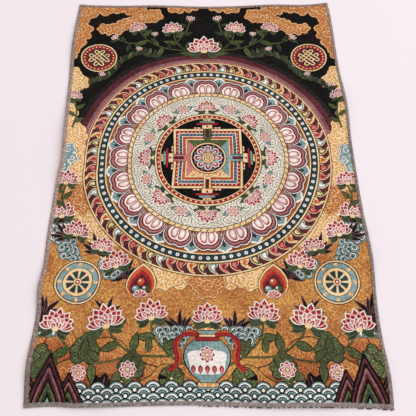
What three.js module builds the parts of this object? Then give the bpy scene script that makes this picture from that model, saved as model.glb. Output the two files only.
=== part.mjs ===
import * as THREE from "three";

// A woven brocade picture panel, lying face up on a flat surface, its four edges overlocked in
// grey thread. Millimetres: X to the right, Y towards the top of the picture, Z up. The origin is
// under the middle of the panel, on the surface that it lies on.

// Driving dimensions. The panel is measured over its edging.
const panelWidth = 600;
const panelHeight = 900;
const clothThickness = 1.0;
const threadThickness = 0.6;
const edgingWidth = 7;
const gap = 0.3;
const cellSize = 22;

// The edging's flattened outer corners, where the thread turns round the cloth's cut edge.
const turnOfThread = 0.6;

const edgeInset = threadThickness + gap;
const edgingHeight = clothThickness + 2 * edgeInset;

// How far each edge strays outwards from a true rectangle: `at` is the place along the edge,
// measured from its middle, and `out` is the distance.
const leftEdge = [
  { at: -450, out: -1 },
  { at: -380, out: 4 },
  { at: -300, out: 0 },
  { at: -250, out: 3 },
  { at: -215, out: 0 },
  { at: -150, out: 1 },
  { at: -60, out: -1 },
  { at: -20, out: -4 },
  { at: 10, out: -7 },
  { at: 100, out: -3 },
  { at: 225, out: 3 },
  { at: 330, out: 6 },
  { at: 450, out: 3 },
];
const rightEdge = [
  { at: -450, out: 1 },
  { at: -400, out: 3 },
  { at: -310, out: 0 },
  { at: -190, out: 5 },
  { at: -75, out: 2 },
  { at: 60, out: 2 },
  { at: 155, out: 4 },
  { at: 255, out: 0 },
  { at: 400, out: 0 },
  { at: 450, out: -3 },
];
const topEdge = [
  { at: -300, out: 0 },
  { at: -260, out: -4 },
  { at: -145, out: -7 },
  { at: -30, out: -11 },
  { at: 60, out: -10 },
  { at: 230, out: -8 },
  { at: 300, out: 0 },
];
const bottomEdge = [
  { at: -300, out: -3 },
  { at: -255, out: -5 },
  { at: -215, out: -3 },
  { at: -60, out: -5 },
  { at: 15, out: -4 },
  { at: 95, out: -1 },
  { at: 170, out: -1 },
  { at: 250, out: 1 },
  { at: 300, out: 4 },
];

// Soft ridges where the cloth stands off the surface: the middle of each, its length and width,
// the angle of its length from X in degrees, and its height. Between them the cloth lies flat.
const ridges = [
  { x: -300, y: 60, length: 330, width: 120, turn: 92, height: 8 },
  { x: -235, y: -40, length: 260, width: 90, turn: -28, height: 4 },
  { x: -300, y: -250, length: 150, width: 90, turn: 90, height: 4 },
  { x: -300, y: -385, length: 120, width: 80, turn: 84, height: 3 },
  { x: -290, y: 330, length: 230, width: 90, turn: 88, height: 4 },
  { x: 300, y: 150, length: 190, width: 90, turn: 90, height: 5 },
  { x: 300, y: -190, length: 180, width: 90, turn: 93, height: 5 },
  { x: 300, y: -400, length: 110, width: 80, turn: 90, height: 3 },
  { x: 225, y: 60, length: 220, width: 100, turn: 35, height: 3 },
  { x: -90, y: 450, length: 240, width: 90, turn: 2, height: 3 },
  { x: 165, y: 450, length: 200, width: 90, turn: 0, height: 4 },
  { x: 160, y: -450, length: 260, width: 80, turn: -3, height: 4 },
  { x: -190, y: -450, length: 150, width: 70, turn: 4, height: 3 },
  { x: -150, y: 250, length: 210, width: 120, turn: 60, height: 2 },
  { x: 120, y: -260, length: 260, width: 120, turn: -52, height: 2 },
];

// A function that gives an edge's stray at any place, as one smooth curve through its rows.
function strayCurve(rows) {
  const places = rows.map((row) => row.at);
  const strays = rows.map((row) => row.out);
  const curve = new THREE.CubicInterpolant(places, strays, 1);
  return (place) => curve.evaluate(place)[0];
}

const leftStray = strayCurve(leftEdge);
const rightStray = strayCurve(rightEdge);
const topStray = strayCurve(topEdge);
const bottomStray = strayCurve(bottomEdge);

// A soft swell, from 1 at the middle to 0 at a distance of 1.
function swell(distance) {
  return Math.abs(distance) < 1 ? (1 + Math.cos(Math.PI * distance)) / 2 : 0;
}

// How far a point of the flat panel stands off the surface once the panel is laid down.
function liftAt(x, y) {
  let lift = 0;
  for (const ridge of ridges) {
    const offset = new THREE.Vector2(x - ridge.x, y - ridge.y);
    offset.rotateAround(new THREE.Vector2(), THREE.MathUtils.degToRad(-ridge.turn));
    const along = swell(offset.x / (ridge.length / 2));
    const across = swell(offset.y / (ridge.width / 2));
    lift += ridge.height * along * across;
  }
  return lift;
}

// Lay a flat piece down: its points move with the stray edges, and up on to the ridges.
function lay(geometry) {
  const position = geometry.attributes.position;
  const point = new THREE.Vector3();
  for (let i = 0; i < position.count; i += 1) {
    point.fromBufferAttribute(position, i);
    const across = point.x / panelWidth + 0.5;
    const up = point.y / panelHeight + 0.5;
    const sideways = THREE.MathUtils.lerp(-leftStray(point.y), rightStray(point.y), across);
    const lengthways = THREE.MathUtils.lerp(-bottomStray(point.x), topStray(point.x), up);
    const lift = liftAt(point.x, point.y);
    position.setXYZ(i, point.x + sideways, point.y + lengthways, point.z + lift);
  }
  geometry.computeVertexNormals();
  return geometry;
}

// The grid lines that the cloth and the edging share along one direction, clear of the edging.
function innerLines(length) {
  const half = length / 2 - edgingWidth;
  const cells = Math.round((2 * half) / cellSize);
  return Array.from({ length: cells + 1 }, (_, i) => -half + (2 * half * i) / cells);
}

// The cloth: a sheet on the surface, its border raised by the thread that wraps round under it.
function clothGeometry() {
  const edgeX = panelWidth / 2 - edgeInset;
  const edgeY = panelHeight / 2 - edgeInset;
  const linesX = [-edgeX, ...innerLines(panelWidth), edgeX];
  const linesY = [-edgeY, ...innerLines(panelHeight), edgeY];
  const columns = linesX.length - 1;
  const rows = linesY.length - 1;
  const borderX = panelWidth / 2 - edgingWidth;
  const borderY = panelHeight / 2 - edgingWidth;
  const geometry = new THREE.BoxGeometry(1, 1, clothThickness, columns, rows, 1);
  geometry.translate(0.5, 0.5, clothThickness / 2);
  const position = geometry.attributes.position;
  for (let i = 0; i < position.count; i += 1) {
    const x = linesX[Math.round(position.getX(i) * columns)];
    const y = linesY[Math.round(position.getY(i) * rows)];
    const inBorder = Math.abs(x) >= borderX || Math.abs(y) >= borderY;
    position.setXYZ(i, x, y, position.getZ(i) + (inBorder ? edgeInset : 0));
  }
  return lay(geometry);
}

// The edging's section: x runs inwards from the outer edge and y up from the surface. Its two
// legs lie under and over the cloth.
function edgingSection() {
  const section = new THREE.Shape();
  section.moveTo(turnOfThread, 0);
  section.lineTo(edgingWidth, 0);
  section.lineTo(edgingWidth, threadThickness);
  section.lineTo(threadThickness, threadThickness);
  section.lineTo(threadThickness, edgingHeight - threadThickness);
  section.lineTo(edgingWidth, edgingHeight - threadThickness);
  section.lineTo(edgingWidth, edgingHeight);
  section.lineTo(turnOfThread, edgingHeight);
  section.lineTo(0, edgingHeight - turnOfThread);
  section.lineTo(0, turnOfThread);
  section.closePath();
  return section;
}

// One run of edging: `inwards` points from the outer edge to the cloth, and the run goes the way
// that keeps the edge on its right. `lines` are the places along the run, from its middle.
function edgingGeometry(inwards, offset, lines) {
  const steps = lines.length - 1;
  const geometry = new THREE.ExtrudeGeometry(edgingSection(), {
    depth: 1,
    steps,
    bevelEnabled: false,
  });
  const position = geometry.attributes.position;
  for (let i = 0; i < position.count; i += 1) {
    position.setZ(i, lines[Math.round(position.getZ(i) * steps)]);
  }
  const upwards = new THREE.Vector3(0, 0, 1);
  const alongRun = new THREE.Vector3().crossVectors(inwards, upwards);
  const placing = new THREE.Matrix4().makeBasis(inwards, upwards, alongRun);
  placing.setPosition(inwards.clone().multiplyScalar(-offset));
  geometry.applyMatrix4(placing);
  return lay(geometry);
}

// The runs along the top and bottom reach the corners, and those down the sides butt against them.
function crossLines() {
  return [-panelWidth / 2, ...innerLines(panelWidth), panelWidth / 2];
}

function sideLines() {
  const lines = innerLines(panelHeight);
  lines[0] += gap;
  lines[lines.length - 1] -= gap;
  return lines;
}

const clothFinish = new THREE.MeshStandardMaterial({
  color: 0xb07a45,
  roughness: 0.85,
  metalness: 0,
});
const threadFinish = new THREE.MeshStandardMaterial({
  color: 0x7d716b,
  roughness: 0.9,
  metalness: 0,
});

const edgingRuns = [
  { name: "edging_bottom", inwards: [0, 1, 0], offset: panelHeight / 2, lines: crossLines() },
  { name: "edging_right", inwards: [-1, 0, 0], offset: panelWidth / 2, lines: sideLines() },
  { name: "edging_top", inwards: [0, -1, 0], offset: panelHeight / 2, lines: crossLines() },
  { name: "edging_left", inwards: [1, 0, 0], offset: panelWidth / 2, lines: sideLines() },
];

const hanging = new THREE.Group();

const wovenPanel = new THREE.Mesh(clothGeometry(), clothFinish);
wovenPanel.name = "woven_panel";
hanging.add(wovenPanel);

for (const run of edgingRuns) {
  const inwards = new THREE.Vector3(...run.inwards);
  const edging = new THREE.Mesh(
    edgingGeometry(inwards, run.offset, run.lines),
    threadFinish.clone(),
  );
  edging.name = run.name;
  hanging.add(edging);
}

export default hanging;
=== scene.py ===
import math
import random

import bmesh
import bpy
from mathutils import Matrix, Vector
from mathutils.bvhtree import BVHTree
from mathutils.geometry import delaunay_2d_cdt


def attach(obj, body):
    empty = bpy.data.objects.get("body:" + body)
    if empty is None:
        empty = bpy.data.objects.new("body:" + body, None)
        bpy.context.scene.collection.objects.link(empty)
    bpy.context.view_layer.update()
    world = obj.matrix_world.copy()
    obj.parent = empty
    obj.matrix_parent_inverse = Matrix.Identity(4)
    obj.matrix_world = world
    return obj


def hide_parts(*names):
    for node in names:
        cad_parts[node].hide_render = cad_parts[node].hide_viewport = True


# A woven brocade panel with a mandala design, overlocked on its four edges and laid face up.
# Sizes are in millimetres until `laid` turns them into metres, with X to the right and Y to the
# top of the picture.

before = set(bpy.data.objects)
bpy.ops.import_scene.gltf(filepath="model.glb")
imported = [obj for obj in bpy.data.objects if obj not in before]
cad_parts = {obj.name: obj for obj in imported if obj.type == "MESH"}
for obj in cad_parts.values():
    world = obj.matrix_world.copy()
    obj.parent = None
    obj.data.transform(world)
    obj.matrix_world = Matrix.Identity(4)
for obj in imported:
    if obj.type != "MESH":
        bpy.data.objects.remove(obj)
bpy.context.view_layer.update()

MM = 0.001
PANEL_WIDTH = 600
PANEL_HEIGHT = 900
CLOTH_THICKNESS = 1.0
THREAD_THICKNESS = 0.6
EDGING_WIDTH = 7
GAP = 0.3
EDGE_INSET = THREAD_THICKNESS + GAP
CLOTH_HALF_WIDTH = PANEL_WIDTH / 2 - EDGE_INSET
CLOTH_HALF_HEIGHT = PANEL_HEIGHT / 2 - EDGE_INSET


# Camera, where the photographer stood at the foot of the panel

CAMERA_PLACE = (-0.3, -461, 811)
CAMERA_TILT = 24.38
CAMERA_YAW = -0.51
CAMERA_LENS = 39.77
CAMERA_SENSOR = 36


def make_camera():
    data = bpy.data.cameras.new("camera")
    data.lens = CAMERA_LENS
    data.sensor_width = CAMERA_SENSOR
    camera = bpy.data.objects.new("camera", data)
    camera.location = Vector(CAMERA_PLACE) * MM
    camera.rotation_euler = (math.radians(CAMERA_TILT), 0, math.radians(CAMERA_YAW))
    bpy.context.scene.collection.objects.link(camera)
    bpy.context.scene.camera = camera


make_camera()


# How the panel lies: the same stray edges and ridges as its solid has

LEFT_EDGE = [
    (-450, -1), (-380, 4), (-300, 0), (-250, 3), (-215, 0), (-150, 1), (-60, -1), (-20, -4),
    (10, -7), (100, -3), (225, 3), (330, 6), (450, 3),
]
RIGHT_EDGE = [
    (-450, 1), (-400, 3), (-310, 0), (-190, 5), (-75, 2), (60, 2), (155, 4), (255, 0),
    (400, 0), (450, -3),
]
TOP_EDGE = [(-300, 0), (-260, -4), (-145, -7), (-30, -11), (60, -10), (230, -8), (300, 0)]
BOTTOM_EDGE = [
    (-300, -3), (-255, -5), (-215, -3), (-60, -5), (15, -4), (95, -1), (170, -1), (250, 1),
    (300, 4),
]

# x, y, length, width, turn in degrees, height
RIDGES = [
    (-300, 60, 330, 120, 92, 8),
    (-235, -40, 260, 90, -28, 4),
    (-300, -250, 150, 90, 90, 4),
    (-300, -385, 120, 80, 84, 3),
    (-290, 330, 230, 90, 88, 4),
    (300, 150, 190, 90, 90, 5),
    (300, -190, 180, 90, 93, 5),
    (300, -400, 110, 80, 90, 3),
    (225, 60, 220, 100, 35, 3),
    (-90, 450, 240, 90, 2, 3),
    (165, 450, 200, 90, 0, 4),
    (160, -450, 260, 80, -3, 4),
    (-190, -450, 150, 70, 4, 3),
    (-150, 250, 210, 120, 60, 2),
    (120, -260, 260, 120, -52, 2),
]


def stray_curve(rows):
    """A function that gives an edge's stray at any place, as one smooth curve."""
    last = len(rows) - 1
    slopes = [0.0] * len(rows)
    for i in range(1, last):
        (before, low), (after, high) = rows[i - 1], rows[i + 1]
        slopes[i] = (high - low) / (after - before)
    first_slope = (rows[1][1] - rows[0][1]) / (rows[1][0] - rows[0][0])
    last_slope = (rows[last][1] - rows[last - 1][1]) / (rows[last][0] - rows[last - 1][0])
    slopes[0] = (3 * first_slope - slopes[1]) / 2
    slopes[last] = (3 * last_slope - slopes[last - 1]) / 2

    def stray(place):
        i = 0
        while i < last - 1 and place > rows[i + 1][0]:
            i += 1
        (start, low), (end, high) = rows[i], rows[i + 1]
        step = end - start
        t = min(max((place - start) / step, 0), 1)
        from_low = (1 + 2 * t) * (1 - t) ** 2 * low + t * (1 - t) ** 2 * step * slopes[i]
        from_high = t * t * (3 - 2 * t) * high + t * t * (t - 1) * step * slopes[i + 1]
        return from_low + from_high

    return stray


left_stray = stray_curve(LEFT_EDGE)
right_stray = stray_curve(RIGHT_EDGE)
top_stray = stray_curve(TOP_EDGE)
bottom_stray = stray_curve(BOTTOM_EDGE)


def swell(distance):
    return (1 + math.cos(math.pi * distance)) / 2 if abs(distance) < 1 else 0.0


def lift_at(x, y):
    """How far a point of the flat panel stands off the surface once it is laid down."""
    lift = 0.0
    for ridge_x, ridge_y, length, width, turn, height in RIDGES:
        away_x, away_y = x - ridge_x, y - ridge_y
        if abs(away_x) + abs(away_y) > length:
            continue
        cos, sin = math.cos(math.radians(turn)), math.sin(math.radians(turn))
        along = (away_x * cos + away_y * sin) / (length / 2)
        across = (away_y * cos - away_x * sin) / (width / 2)
        lift += height * swell(along) * swell(across)
    return lift


def laid(x, y, z):
    """Where a point of the flat panel comes to lie, in metres."""
    across = x / PANEL_WIDTH + 0.5
    up = y / PANEL_HEIGHT + 0.5
    sideways = (across - 1) * left_stray(y) + across * right_stray(y)
    lengthways = (up - 1) * bottom_stray(x) + up * top_stray(x)
    return Vector((x + sideways, y + lengthways, z + lift_at(x, y))) * MM


# Yarns: the main dye, the second dye that speckles it, how much of it shows, and the curls, if
# any, that are woven into it: their dye, the size of a curl, the lines' spacing and their width.
# Dyes are red, green and blue from 0 to 255.

YARNS = {
    "black": ((18, 16, 16), (36, 32, 32), 0.2),
    "charcoal": ((46, 42, 42), (22, 20, 20), 0.45),
    "gold": ((226, 172, 100), (198, 134, 70), 0.42, ((252, 236, 208), 16, 6.2, 0.28)),
    "ochre": ((224, 168, 96), (166, 100, 56), 0.5, ((142, 82, 46), 15, 5.0, 0.18)),
    "amber": ((188, 117, 66), (158, 90, 48), 0.45, ((224, 172, 114), 14, 5.6, 0.24)),
    "rust": ((176, 104, 60), (132, 66, 42), 0.5, ((212, 148, 88), 10, 4.2, 0.2)),
    "bronze": ((126, 70, 44), (176, 110, 62), 0.35),
    "pale_gold": ((244, 218, 170), (222, 174, 118), 0.32),
    "cream": ((236, 230, 216), (202, 194, 178), 0.35, ((74, 66, 62), 25, 5.6, 0.22)),
    "white": ((250, 246, 241), (216, 204, 202), 0.35),
    "leaf": ((106, 112, 68), (62, 72, 46), 0.5),
    "moss": ((134, 136, 90), (78, 86, 52), 0.5, ((36, 42, 30), 9, 4.0, 0.3)),
    "dark_leaf": ((44, 52, 42), (78, 88, 66), 0.4),
    "teal": ((150, 174, 172), (102, 130, 134), 0.45),
    "deep_teal": ((50, 76, 82), (30, 46, 52), 0.4),
    "crimson": ((176, 48, 52), (128, 34, 40), 0.4),
    "maroon": ((104, 50, 58), (62, 32, 38), 0.45),
    "plum": ((156, 108, 108), (112, 70, 76), 0.45),
    "rose": ((210, 140, 134), (178, 98, 100), 0.4),
    "blush": ((232, 202, 194), (210, 166, 160), 0.35),
    "orange": ((204, 100, 62), (168, 66, 42), 0.4),
}


# Drawing the picture: each shape is woven over the ones before it. A motif's own sizes are in
# millimetres, before its place makes it larger or smaller.

SPINDLE_STEPS = 6

picture = []


def at(x, y, turn=0, size=1, flip=1):
    """A place in the picture: where a motif goes, turned in degrees, at a size."""
    scale = Matrix.Diagonal((size * flip, size, 1, 1))
    return Matrix.Translation((x, y, 0)) @ Matrix.Rotation(math.radians(turn), 4, "Z") @ scale


WHOLE = at(0, 0)


def weave(yarn, outline, place):
    picture.append((yarn, [(place @ Vector((x, y, 0))).to_2d() for x, y in outline]))


def around(centre, radius, count, start=0):
    """Places spaced evenly round a circle, each with its Y pointing outwards."""
    for i in range(count):
        turn = start + 360 * i / count
        yield centre @ at(0, 0, turn) @ at(0, radius)


def disc(radius, corners):
    turns = [2 * math.pi * i / corners for i in range(corners)]
    return [(radius * math.cos(turn), radius * math.sin(turn)) for turn in turns]


def box(left, bottom, right, top):
    return [(left, bottom), (right, bottom), (right, top), (left, top)]


def between(a, b, c, d, steps):
    """Points of a smooth curve from b up to c, on its way from a to d."""
    a, b, c, d = Vector(a), Vector(b), Vector(c), Vector(d)
    for step in range(steps):
        t = step / steps
        bend = (2 * a - 5 * b + 4 * c - d) * t * t + (3 * b - a - 3 * c + d) * t ** 3
        yield (2 * b + (c - a) * t + bend) / 2


def smooth(points, steps=4):
    """A closed smooth outline through a few points."""
    outline = []
    for i in range(len(points)):
        around_here = [points[(i + k) % len(points)] for k in (-1, 0, 1, 2)]
        outline += between(*around_here, steps)
    return outline


def mirrored(half):
    """A symmetric outline from its right half, given from the bottom up."""
    return half + [(-x, y) for x, y in reversed(half) if abs(x) > 1e-6]


def spindle(length, width, belly=0.5, blunt=1.0, bend=0):
    """A petal or leaf from the origin up to its tip, widest at `belly` of its length."""
    power = math.log(0.5) / math.log(belly)
    right, left = [], []
    for i in range(SPINDLE_STEPS + 1):
        t = i / SPINDLE_STEPS
        half = width / 2 * math.sin(math.pi * t ** power) ** blunt if 0 < i < SPINDLE_STEPS else 0
        middle = bend * t * t
        right.append((middle + half, length * t))
        if half:
            left.append((middle - half, length * t))
    return right + left[::-1]


def ribbon(path, wide, narrow=None):
    """A band along a path, from one width to the other."""
    narrow = wide if narrow is None else narrow
    right, left = [], []
    last = len(path) - 1
    for i, point in enumerate(path):
        ahead = Vector(path[min(i + 1, last)]) - Vector(path[max(i - 1, 0)])
        side = Vector((ahead.y, -ahead.x)).normalized()
        half = (wide + (narrow - wide) * i / last) / 2
        right.append(Vector(point) + side * half)
        left.append(Vector(point) - side * half)
    return right + left[::-1]


def open_curve(points, steps=5):
    """A smooth open path through a few points."""
    path = []
    last = len(points) - 1
    for i in range(last):
        before, beyond = points[max(i - 1, 0)], points[min(i + 2, last)]
        path += between(before, points[i], points[i + 1], beyond, steps)
    return path + [Vector(points[last])]


def spiral(radius, turns, steps):
    """A path that winds in from `radius` away to a tenth of it."""
    path = []
    for i in range(steps + 1):
        t = i / steps
        turn = 2 * math.pi * turns * t
        away = radius * (1 - 0.9 * t)
        path.append((away * math.cos(turn), away * math.sin(turn)))
    return path


# How the pieces of a motif are put together

LEAF_BELLY = 0.42
LEAF_BLUNT = 0.9
PETAL_BLUNT = 0.8

# Corners in the outline of a round, from the mandala's rings down to a dab of yarn
RING = 120
INNER_RING = 96
HUB = 48
MEDALLION = 40
JEWEL = 18
TUFT = 14
DAB = 8


def rounds(place, corners, *rows):
    """Rounds of yarn, one over another: each row is a radius and its yarn."""
    for radius, yarn in rows:
        weave(yarn, disc(radius, corners), place)


def drawn_in(points, middle_x, middle_y, wide, high):
    """An outline drawn in towards a point, to a share of its width and of its height."""
    return [(middle_x + (x - middle_x) * wide, middle_y + (y - middle_y) * high) for x, y in points]


def set_out(whole, *rows):
    """Motifs in their places: each row is a motif, its place, and what else the motif is told."""
    for motif, place, *more in rows:
        motif(whole @ at(*place), *more)


def blade(length, width, bend):
    return spindle(length, width, LEAF_BELLY, LEAF_BLUNT, bend)


def leaf(place, length, width, bend, yarn="leaf", shade="dark_leaf"):
    weave("black", blade(length * 1.06, width * 1.25, bend), place)
    weave(yarn, blade(length, width, bend), place)
    vein = [(0, length * 0.05), (bend * 0.25, length * 0.5), (bend * 0.8, length * 0.9)]
    weave(shade, ribbon(vein, 1.6, 0.8), place)


def petal(place, length, width, rim, body, heart=None, belly=0.6):
    """A petal: its rim, the body inside it, and the heart, if any, inside that."""
    for yarn, long, wide, up in ((rim, 1, 1, 0), (body, 0.9, 0.74, 0.02), (heart, 0.66, 0.3, 0.06)):
        if yarn:
            outline = spindle(length * long, width * wide, belly, PETAL_BLUNT)
            weave(yarn, outline, place @ at(0, length * up))


def fan(place, turns, length, width, rim, body, heart=None, up=0, shorten=0):
    """Petals spread from one foot, each turned in degrees and shortened as it turns away."""
    for turn in turns:
        petal(place @ at(0, up, -turn), length - abs(turn) * shorten, width, rim, body, heart)


def stem(place, points, width=2.4, yarn="leaf"):
    path = open_curve(points)
    weave("black", ribbon(path, width + 1.4), place)
    weave(yarn, ribbon(path, width), place)


# Motifs

def lotus(place):
    """A lotus in flower, seen from the side, about 60 wide."""
    fan(place, (-118, -96, 96, 118), 27, 12, "leaf", "dark_leaf", up=-4)
    fan(place, (-84, -58, -31, 0, 31, 58, 84), 34, 13.5, "white", "crimson", "rose", shorten=0.05)
    fan(place, (-70, -44, -15, 15, 44, 70), 27, 12, "blush", "crimson", "maroon", up=-1)
    fan(place, (-52, -26, 0, 26, 52), 22, 11.5, "white", "rose", "blush", up=-3)
    fan(place, (-34, 0, 34), 15, 9, "white", "crimson", "blush", up=-5)
    weave("pale_gold", smooth([(-4, -6), (4, -6), (5, -1), (0, 1), (-5, -1)], 3), place)


def bud(place):
    fan(place, (-24, 24), 17, 8, "white", "crimson", "blush")
    fan(place, (0,), 17, 8, "white", "rose", "blush")
    fan(place, (-40, 40), 10, 5, "leaf", "dark_leaf", up=-1)


def rosette(place, radius, petals=8):
    """A flower seen from above."""
    for ring, (reach, body) in enumerate(((1.0, "crimson"), (0.72, "rose"))):
        for spot in around(place, 0, petals, 180 / petals * ring):
            petal(spot, radius * reach, radius * 0.62 * reach, "white", body, "blush", 0.66)
    rounds(place, 12, (radius * 0.27, "maroon"))
    rounds(place, 10, (radius * 0.2, "pale_gold"))


def scallops(lobes, seed):
    """Small lobes set round the rim of each lobe of a cloud."""
    draw = random.Random(seed)
    small = []
    for x, y, radius in lobes:
        first = draw.uniform(0, 72)
        for i in range(5):
            turn = math.radians(first + 72 * i)
            size = radius * draw.uniform(0.36, 0.5)
            away = radius - 0.4 * size
            small.append((x + away * math.cos(turn), y + away * math.sin(turn), size))
    return small


def cloud(place, lobes, yarn="gold", rim="pale_gold"):
    """A bank of scroll cloud: scalloped lobes with one light rim, and a light curl on each lobe."""
    swellings = scallops(lobes, len(lobes)) + lobes
    for shade, grow in (("bronze", 1.2), (rim, 0), (yarn, -1.9)):
        for x, y, radius in swellings:
            weave(shade, disc(radius + grow, 10 if radius < 12 else 16), place @ at(x, y))
    for i, (x, y, radius) in enumerate(lobes):
        curl = ribbon(spiral(radius * 0.62, 1.3, 10), 2.0, 1.2)
        weave(rim, curl, place @ at(x, y, 70 * i, 1, 1 if i % 2 else -1))


def bank(points, radius, seed):
    """Lobes of cloud scattered along a few points."""
    draw = random.Random(seed)
    return [
        (p.x + draw.uniform(-4, 4), p.y + draw.uniform(-4, 4), radius * draw.uniform(0.75, 1.15))
        for p in open_curve(points, 3)
    ]


def wheel(place):
    """An eight-spoked wheel, 54 across, on a coloured round."""
    rounds(place, MEDALLION, (42, "black"), (40.5, "pale_gold"), (38, "maroon"), (36, "teal"))
    for spot in around(place, 28, 8):
        weave("gold", spindle(9, 7, 0.5, PETAL_BLUNT), spot)
    rounds(place, 36, (27, "black"), (26, "pale_gold"), (21, "crimson"), (20, "deep_teal"))
    for spot in around(place, 0, 8):
        weave("pale_gold", [(-0.9, 0), (0.9, 0), (2.2, 21), (-2.2, 21)], spot)
    rounds(place, 16, (8, "black"), (7, "pale_gold"), (4.5, "crimson"), (2, "white"))


def knot(place):
    """An endless knot of looped cord on a coloured round."""
    rounds(place, MEDALLION, (42, "black"), (40.5, "pale_gold"), (38, "dark_leaf"), (36, "crimson"))
    for spot in around(place, 32.5, 24):
        rounds(spot, DAB, (1.7, "pale_gold"))
    rounds(place, 36, (28.5, "maroon"))
    for turn in (45, 135):
        for offset in (-8, 8):
            for half_width, yarn in ((6.4, "black"), (5.2, "pale_gold"), (2.6, "black"), (1.6, "maroon")):
                loop = [(x + (18 if x > 0 else -18), y) for x, y in disc(half_width, 16)]
                weave(yarn, loop, place @ at(0, 0, turn) @ at(0, offset))
    for turn in (45, 135):
        for offset in (-3.9, 3.9, -12, 12):
            for start in (-14, 2):
                left = start + (4 if (offset > 0) == (turn == 45) else -4)
                weave("pale_gold", box(left, -1.2, left + 8, 1.2), place @ at(0, 0, turn) @ at(0, offset))


def scallop_waves(left, right, bottom, top, radius=15):
    """Rows of round waves, each over the row behind it."""
    dyes = ("black", "teal", "white", "deep_teal", "teal", "black", "white")
    rise = radius * 0.62
    for row in range(int((top - bottom) / rise), -1, -1):
        x = left + (radius if row % 2 else 0)
        while x < right + radius:
            rings = [(radius * (1 - i * 0.135), dye) for i, dye in enumerate(dyes)]
            rounds(at(x, bottom + row * rise), 16, *rings)
            x += 2 * radius


def peaks(place):
    """Three mountain peaks in nested stripes."""
    stripes = (
        "black", "maroon", "black", "plum", "maroon", "black", "leaf", "dark_leaf", "black", "teal",
        "deep_teal",
    )
    for x, height, width in ((-34, 62, 46), (34, 58, 46), (0, 88, 60)):
        for i, dye in enumerate(stripes):
            left = 1 - i / len(stripes)
            half = [
                (width / 2 * left, 0), (width * 0.42 * left, height * 0.4 * left),
                (width * 0.16 * left, height * 0.78 * left), (0, height * left),
            ]
            weave(dye, smooth(mirrored(half), 3), place @ at(x, 0))


def vase(place):
    """A treasure vase with its ribbons, and with leaves and a lotus in its mouth."""
    body = mirrored([
        (0, 0), (14, 0), (17, 5), (11, 10), (24, 22), (34, 42), (31, 60), (18, 72), (11, 80),
        (19, 90), (0, 90),
    ])
    weave("black", smooth([(x * 1.06, y * 1.02 - 1) for x, y in body], 3), place)
    weave("teal", smooth(body, 3), place)
    label = [(x, y) for x, y in body if 20 < y < 70]
    weave("white", smooth(drawn_in(label, 0, 22, 0.8, 0.84), 3), place)
    bands = ((3, 8, 15, "gold"), (70, 75, 17, "crimson"), (76, 79, 12, "pale_gold"), (86, 91, 20, "gold"))
    for low, high, wide, yarn in bands:
        weave("black", box(-wide - 1, low - 1, wide + 1, high + 1), place)
        weave(yarn, box(-wide, low, wide, high), place)
    for x in (-21, -10.5, 0, 10.5, 21):
        petal(place @ at(x, 20), 15, 10, "white", "crimson", "rose")
    rosette(place @ at(0, 49), 13)
    for side in (-1, 1):
        for reach, yarn in ((0, "orange"), (5, "crimson")):
            half = (
                (12, 78), (30 + reach, 84 - reach), (44 + reach, 66), (40 + reach, 44 - reach),
                (52 + reach, 26),
            )
            stem(place, [(side * x, y) for x, y in half], 4.5, yarn)
    for turn in (-62, -36, -12, 12, 36, 62):
        leaf(place @ at(0, 90, turn), 26, 9, 0)
    lotus(place @ at(0, 102, 0, 0.85))


# The throne petal's layers, from its rim inwards, and those of each of its lobes: yarn and size
PETAL_LAYERS = (
    ("maroon", 1.04), ("white", 1.0), ("maroon", 0.955), ("plum", 0.9), ("rose", 0.83),
    ("maroon", 0.79), ("crimson", 0.74), ("white", 0.71),
)
LOBE_LAYERS = (("crimson", 1.0), ("rose", 0.86), ("blush", 0.72), ("white", 0.5))


def throne_petal(spot, length=44, width=56):
    """One broad double-lobed petal, shaded from a maroon rim to two white lobes."""
    half = [
        (0, 0), (width * 0.3, length * 0.08), (width * 0.49, length * 0.4),
        (width * 0.42, length * 0.76), (width * 0.2, length * 0.97), (0, length * 0.93),
    ]
    for yarn, grow in PETAL_LAYERS:
        up = 1.2 * (1 - grow)
        weave(yarn, smooth(mirrored([(x * grow, up + y * grow) for x, y in half]), 4), spot)
    for side in (-1, 1):
        lobe = [(side * x, y) for x, y in ((1.2, 4), (9, 4), (14.5, 12), (13, 23), (7, 28), (1.6, 24))]
        for yarn, grow in LOBE_LAYERS:
            weave(yarn, smooth(drawn_in(lobe, side * 7.5, 15, grow, grow), 4), spot)


def flame(spot, yarn, heart):
    body = [(-7, -1), (7, -1), (9, 8), (5, 15), (-2, 20), (-8, 21), (-5, 16), (-2, 11), (-7, 6)]
    weave("pale_gold", smooth(body, 3), spot)
    weave(yarn, smooth(drawn_in(body, 0.5, 8, 0.82, 0.84), 3), spot)
    weave(heart, smooth(drawn_in(body, 1.5, 7, 0.42, 0.48), 2), spot)


# The palace: each gate's steps as half width, low, high and yarn, its walls as half width and
# yarn, and the yarn of the quarter behind each gate
GATE = (
    (30, 66, 76, "black"), (28.5, 67, 75, "orange"), (12, 60, 82, "black"),
    (10.5, 60, 81, "pale_gold"), (24, 81, 87, "black"), (22.5, 82, 86, "crimson"),
    (17, 86, 92, "black"), (15.5, 87, 91, "teal"), (10, 91, 97, "black"), (8.5, 92, 96, "gold"),
)
WALLS = (
    (72, "black"), (70.5, "pale_gold"), (66, "black"), (65, "crimson"), (60, "white"),
    (58.5, "deep_teal"), (53, "white"), (51.5, "orange"), (47, "black"), (46, "pale_gold"),
)
QUARTERS = ("leaf", "rose", "gold", "teal")


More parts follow.
